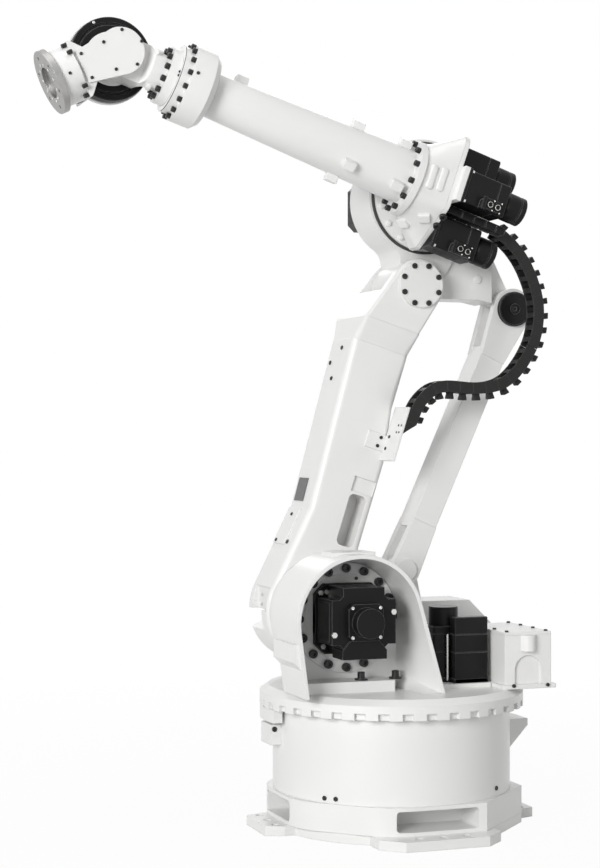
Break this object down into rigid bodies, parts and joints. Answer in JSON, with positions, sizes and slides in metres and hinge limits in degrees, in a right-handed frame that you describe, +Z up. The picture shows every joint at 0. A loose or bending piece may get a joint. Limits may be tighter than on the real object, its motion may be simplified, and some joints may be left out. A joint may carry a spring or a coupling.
{
  "type": "industrial robot arm",
  "caption": "Floor-mounted articulated robot arm with a turning base, a leaning lower arm, a rear parallel link, a tapered forearm, a bending wrist and a round tool flange",
  "frame": {"origin": "on the swivel axis at floor level, under the middle of the four feet", "axes": "+X forward along the arm at rest, +Y to the arm's left, the side with the open motor bay, +Z up"},
  "size_m": [1.7879, 1.032, 2.6015],
  "materials": {
    "pale_paint": "satin warm light grey paint on castings",
    "black_paint": "satin black paint on motors, pins and rings",
    "grey_paint": "dark grey painted plate",
    "chain_plastic": "moulded charcoal plastic links",
    "seal_rubber": "matt black seal",
    "flange_steel": "machined bare steel"
  },
  "bodies": {
    "base": {"base_feet": "pale_paint", "base_frame": "pale_paint", "base_drum": "pale_paint", "base_cable_bracket": "pale_paint", "base_stop_block": "pale_paint"},
    "swivel": {"swivel_ring": "pale_paint", "swivel_stop": "pale_paint", "column": "pale_paint", "shoulder_gear_flange": "pale_paint", "shoulder_motor": "black_paint", "shoulder_motor_encoder": "black_paint", "swivel_motor_plate": "pale_paint", "swivel_motor": "black_paint", "swivel_motor_encoder": "black_paint", "connection_box": "pale_paint", "connection_box_lid": "pale_paint", "link_pedestal": "pale_paint", "link_post": "pale_paint"},
    "lower_arm": {"lower_arm_casting": "pale_paint", "elbow_cover_near": "pale_paint", "elbow_cover_far": "pale_paint", "front_cover": "pale_paint", "arm_plate": "grey_paint", "chain_anchor_arm": "pale_paint", "cable_chain_lower": "chain_plastic"},
    "elbow": {"elbow_casting": "pale_paint", "elbow_seal_ring": "seal_rubber", "forearm_drive_motor": "black_paint"},
    "rear_link": {"rear_link_bar": "pale_paint", "link_foot_bosses": "pale_paint", "link_pin_discs": "black_paint"},
    "forearm": {"forearm_turntable": "pale_paint", "forearm_gearcase": "pale_paint", "motor_plate": "pale_paint", "wrist_motor_top": "black_paint", "wrist_motor_middle": "black_paint", "wrist_motor_low": "black_paint", "wrist_encoder_top": "black_paint", "wrist_encoder_middle": "black_paint", "wrist_encoder_low": "black_paint", "chain_anchor_forearm": "pale_paint", "cable_chain_upper": "chain_plastic", "forearm_tube": "pale_paint", "forearm_front_ring": "pale_paint", "clamp_lugs": "pale_paint"},
    "wrist_roll": {"wrist_neck": "pale_paint"},
    "wrist_bend": {"wrist_fork": "pale_paint", "wrist_ring": "black_paint", "wrist_side_cover": "pale_paint", "wrist_flange_housing": "pale_paint"},
    "tool": {"tool_flange": "flange_steel"}
  },
  "joints": [
    {"name": "swivel_turn", "type": "hinge", "parent": "base", "child": "swivel", "pos_m": [0, 0, 0.38], "axis": [0, 0, 1], "range_deg": [-180, 180]},
    {"name": "shoulder_lean", "type": "hinge", "parent": "swivel", "child": "lower_arm", "pos_m": [0.205, -0.235, 0.687], "axis": [0, 1, 0], "range_deg": [-20, 65]},
    {"name": "elbow_level", "type": "hinge", "parent": "lower_arm", "child": "elbow", "pos_m": [-0.14312, -0.235, 1.7778], "axis": [0, 1, 0], "range_deg": [-56, 18], "deforming": ["cable_chain_lower"]},
    {"name": "link_swing", "type": "hinge", "parent": "elbow", "child": "rear_link", "pos_m": [-0.52912, -0.235, 1.7088], "axis": [0, 1, 0], "range_deg": [-21, 66]},
    {"name": "forearm_pitch", "type": "hinge", "parent": "elbow", "child": "forearm", "pos_m": [-0.18112, 0, 2.0778], "axis": [0, 1, 0], "range_deg": [-65, 70], "deforming": ["cable_chain_upper"]},
    {"name": "wrist_roll_turn", "type": "hinge", "parent": "forearm", "child": "wrist_roll", "pos_m": [0.92947, 0, 2.46455], "axis": [0.9444, 0, 0.3289], "range_deg": [-360, 360]},
    {"name": "wrist_bend_turn", "type": "hinge", "parent": "wrist_roll", "child": "wrist_bend", "pos_m": [0.92947, 0, 2.46455], "axis": [0, 1, 0], "range_deg": [-158, 70]},
    {"name": "tool_turn", "type": "hinge", "parent": "wrist_bend", "child": "tool", "pos_m": [1.14266, 0, 2.36332], "axis": [0.9033, 0, -0.4289], "range_deg": [-360, 360]}
  ],
  "couplings": [
    {"joint": "elbow_level", "follows": "shoulder_lean", "ratio": -0.84},
    {"joint": "link_swing", "follows": "shoulder_lean", "ratio": 0.99}
  ]
}
